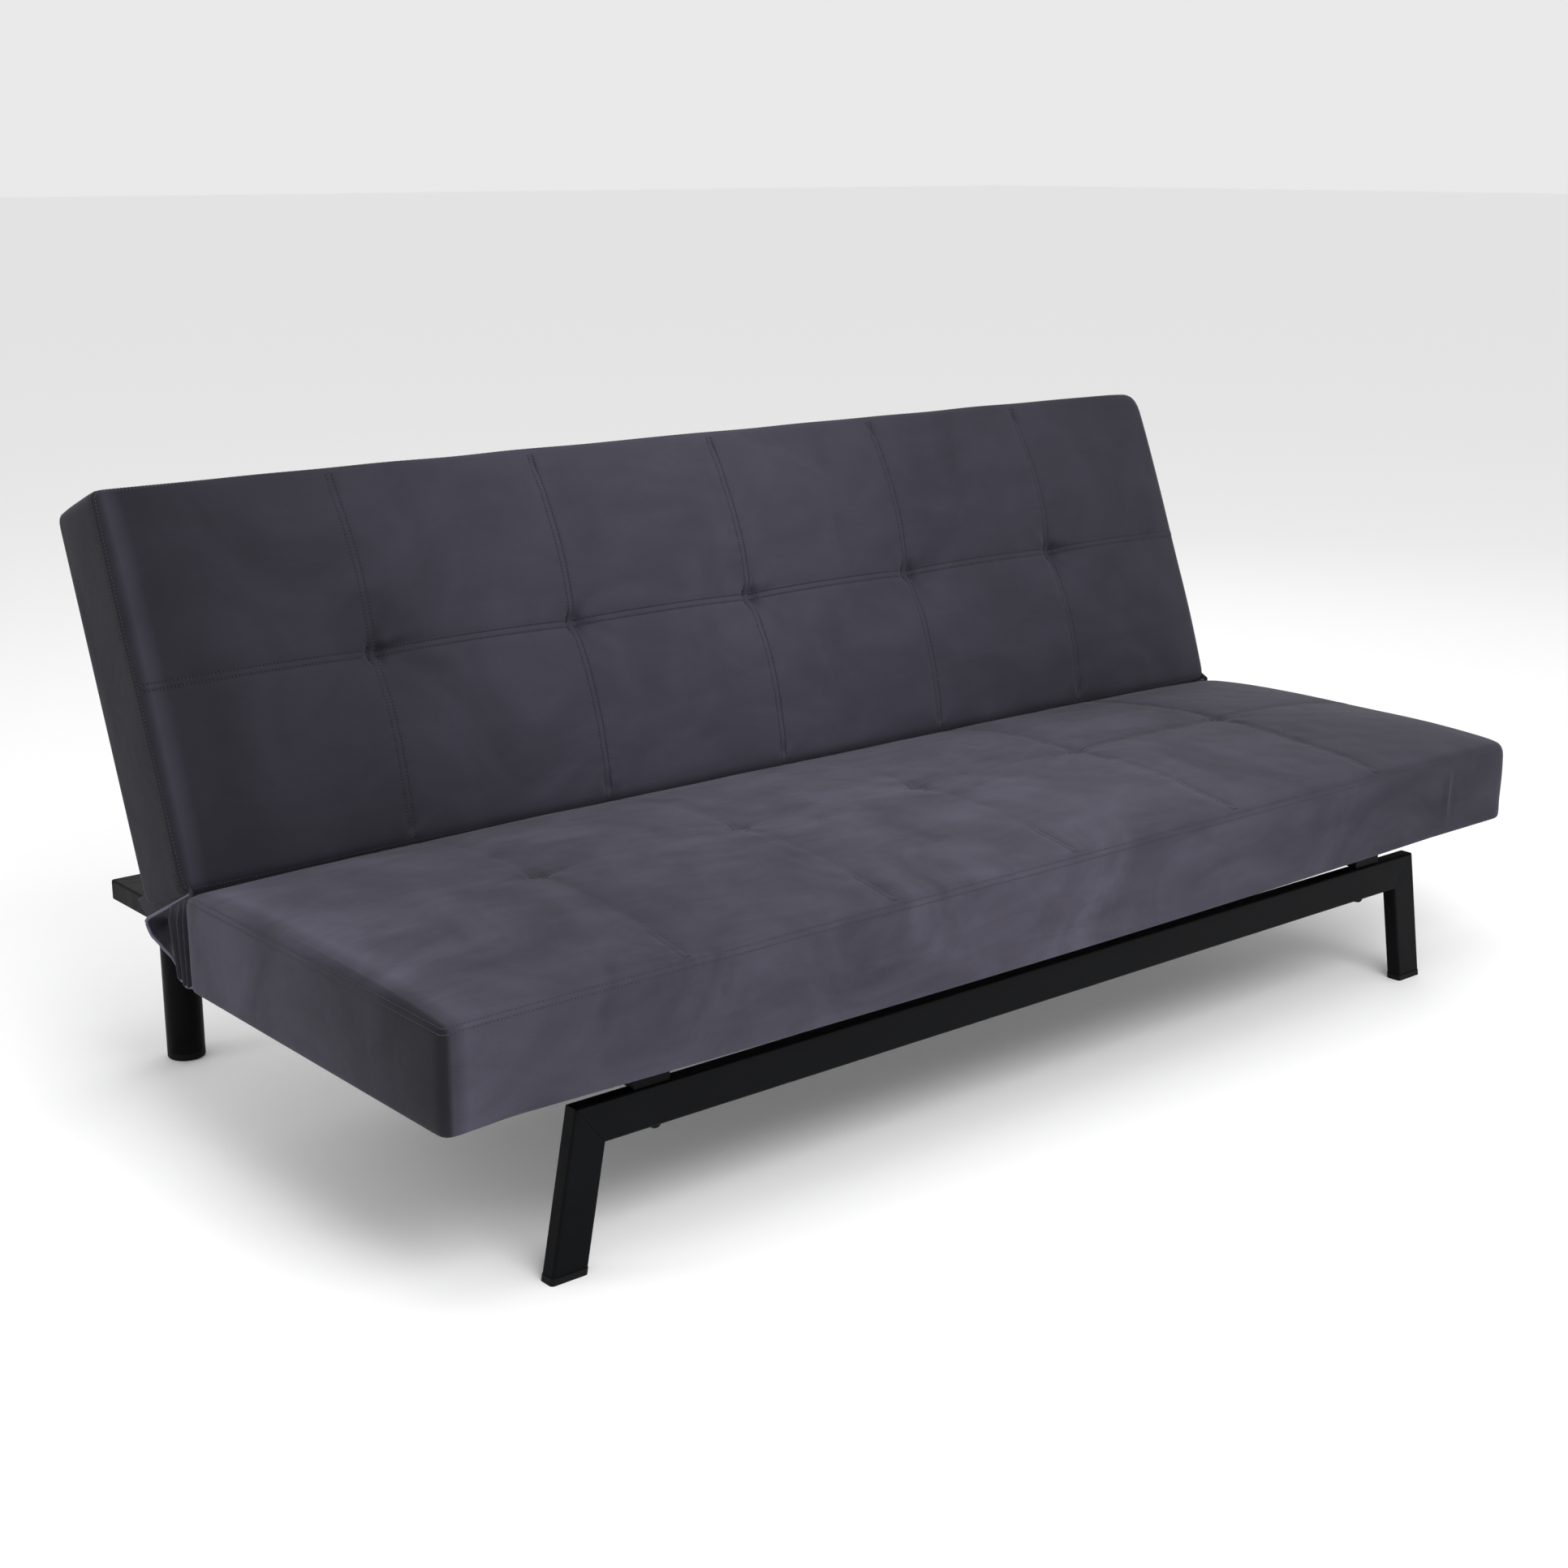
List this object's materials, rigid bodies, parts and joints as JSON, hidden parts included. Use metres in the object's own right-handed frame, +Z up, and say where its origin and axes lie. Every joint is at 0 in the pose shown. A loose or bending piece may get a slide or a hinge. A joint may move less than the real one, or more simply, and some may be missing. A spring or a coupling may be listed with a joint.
{
  "type": "futon sofa bed",
  "caption": "Low upholstered sofa on a black steel leg frame whose tufted back folds down flat behind the seat to make a bed.",
  "frame": {"origin": "on the floor, under the middle of the whole sofa's box", "axes": "+X along the sofa to the end on the right of someone facing it, -Y to the front, +Z up"},
  "size_m": [1.8, 1.02, 0.7839],
  "materials": {
    "velvet": "matte",
    "foam": "matte",
    "dust_cloth": "matte",
    "slat_wood": "satin",
    "black_steel": "satin",
    "zinc_steel": "satin",
    "black_plastic": "matte"
  },
  "bodies": {
    "base": {"base_rail_left": "black_steel", "base_rail_right": "black_steel", "front_foot_left": "black_plastic", "front_foot_right": "black_plastic", "front_leg_left": "black_steel", "front_leg_right": "black_steel", "front_rail": "black_steel", "gusset_left": "velvet", "gusset_right": "velvet", "hinge_post_left": "black_steel", "hinge_post_right": "black_steel", "rail_bolt_left": "black_steel", "rail_bolt_right": "black_steel", "rear_arm_cap_left": "black_plastic", "rear_arm_cap_right": "black_plastic", "rear_arm_left": "black_steel", "rear_arm_right": "black_steel", "rear_cross_rail": "black_steel", "rear_glide_left": "black_plastic", "rear_glide_right": "black_plastic", "rear_leg_left": "black_steel", "rear_leg_right": "black_steel"},
    "seat": {"pawl_pin_left": "zinc_steel", "pawl_pin_right": "zinc_steel", "pawl_spring_left": "zinc_steel", "pawl_spring_right": "zinc_steel", "seat_cover": "velvet", "seat_dust_cloth": "dust_cloth", "seat_foam": "foam", "seat_frame_end_left": "black_steel", "seat_frame_end_right": "black_steel", "seat_frame_long_a": "black_steel", "seat_frame_long_b": "black_steel", "seat_hinge_arm_left": "zinc_steel", "seat_hinge_arm_right": "zinc_steel", "seat_slat_1": "slat_wood", "seat_slat_2": "slat_wood", "seat_slat_3": "slat_wood", "seat_slat_4": "slat_wood", "seat_slat_5": "slat_wood"},
    "back": {"back_cover": "velvet", "back_dust_cloth": "dust_cloth", "back_foam": "foam", "back_frame_end_left": "black_steel", "back_frame_end_right": "black_steel", "back_frame_long_a": "black_steel", "back_frame_long_b": "black_steel", "back_hinge_arm_left": "zinc_steel", "back_hinge_arm_right": "zinc_steel", "back_slat_1": "slat_wood", "back_slat_2": "slat_wood", "back_slat_3": "slat_wood", "back_slat_4": "slat_wood", "back_slat_5": "slat_wood", "hinge_pin_left": "zinc_steel", "hinge_pin_right": "zinc_steel", "ratchet_left": "zinc_steel", "ratchet_right": "zinc_steel"},
    "pawl_left": {"pawl_left": "zinc_steel"},
    "pawl_right": {"pawl_right": "zinc_steel"}
  },
  "joints": [
    {"name": "seat_lift", "type": "hinge", "parent": "base", "child": "seat", "pos_m": [0, 0.0686, 0.3149], "axis": [-1, 0, 0], "range_deg": [0, 12]},
    {"name": "back_fold", "type": "hinge", "parent": "base", "child": "back", "pos_m": [0, 0.0686, 0.3149], "axis": [1, 0, 0], "range_deg": [-68.8, 10], "deforming": ["gusset_left", "gusset_right"]},
    {"name": "pawl_left_lift", "type": "hinge", "parent": "seat", "child": "pawl_left", "pos_m": [-0.7356, 0.0686, 0.2689], "axis": [1, 0, 0], "range_deg": [0, 12], "stiffness_Nm_per_rad": 0.05, "springref_deg": -17.19},
    {"name": "pawl_right_lift", "type": "hinge", "parent": "seat", "child": "pawl_right", "pos_m": [0.7356, 0.0686, 0.2689], "axis": [1, 0, 0], "range_deg": [0, 12]}
  ],
  "couplings": [
    {"joint": "pawl_right_lift", "follows": "pawl_left_lift", "ratio": 1}
  ]
}
